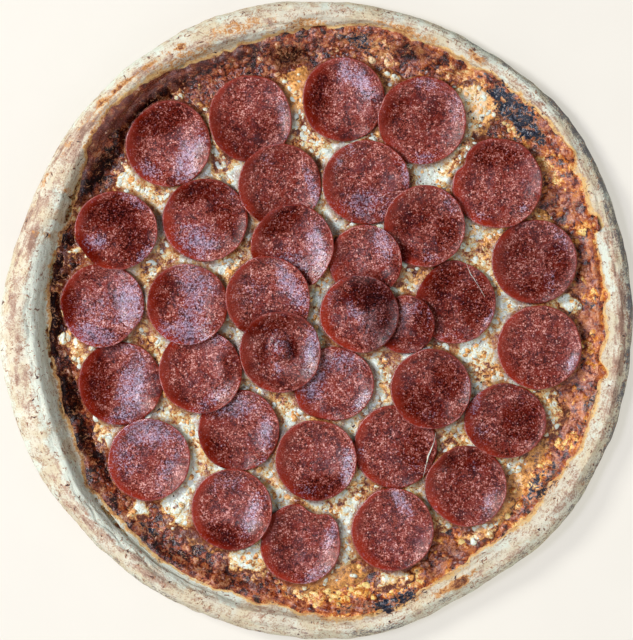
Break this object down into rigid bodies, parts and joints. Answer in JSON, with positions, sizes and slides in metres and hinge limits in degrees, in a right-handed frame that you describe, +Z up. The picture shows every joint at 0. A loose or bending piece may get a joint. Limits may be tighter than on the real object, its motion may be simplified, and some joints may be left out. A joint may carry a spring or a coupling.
{
  "type": "pepperoni pizza",
  "caption": "Round pizza with a puffed, uneven crust rim, tomato sauce, melted cheese and overlapping round slices of pepperoni.",
  "frame": {"origin": "in the plane of the flat underside, at the middle of the pizza seen from above", "axes": "+Z up through the thickness; +X to the right and +Y to the top of the pizza as it is seen from above"},
  "size_m": [0.3046, 0.308, 0.023],
  "materials": {
    "dough": "floury baked dough, cream with tan freckles and a few scorched blisters",
    "sauce": "reduced tomato sauce with browned cheese in it, dark red-brown, oily",
    "cheese": "melted mozzarella, white to cream, with yellow and orange-brown toasted spots",
    "pepperoni": "cured sausage, brownish red and finely grained, with an oily sheen"
  },
  "bodies": {
    "root": {"crust": "dough", "sauce": "sauce", "cheese": "cheese", "pepperoni_01": "pepperoni", "pepperoni_02": "pepperoni", "pepperoni_03": "pepperoni", "pepperoni_04": "pepperoni", "pepperoni_05": "pepperoni", "pepperoni_06": "pepperoni", "pepperoni_07": "pepperoni", "pepperoni_08": "pepperoni", "pepperoni_09": "pepperoni", "pepperoni_10": "pepperoni", "pepperoni_11": "pepperoni", "pepperoni_12": "pepperoni", "pepperoni_13": "pepperoni", "pepperoni_14": "pepperoni", "pepperoni_15": "pepperoni", "pepperoni_16": "pepperoni", "pepperoni_17": "pepperoni", "pepperoni_18": "pepperoni", "pepperoni_19": "pepperoni", "pepperoni_20": "pepperoni", "pepperoni_21": "pepperoni", "pepperoni_22": "pepperoni", "pepperoni_23": "pepperoni", "pepperoni_24": "pepperoni", "pepperoni_25": "pepperoni", "pepperoni_26": "pepperoni", "pepperoni_27": "pepperoni", "pepperoni_28": "pepperoni", "pepperoni_29": "pepperoni", "pepperoni_30": "pepperoni", "pepperoni_31": "pepperoni", "pepperoni_32": "pepperoni", "pepperoni_33": "pepperoni", "pepperoni_34": "pepperoni"}
  },
  "joints": []
}
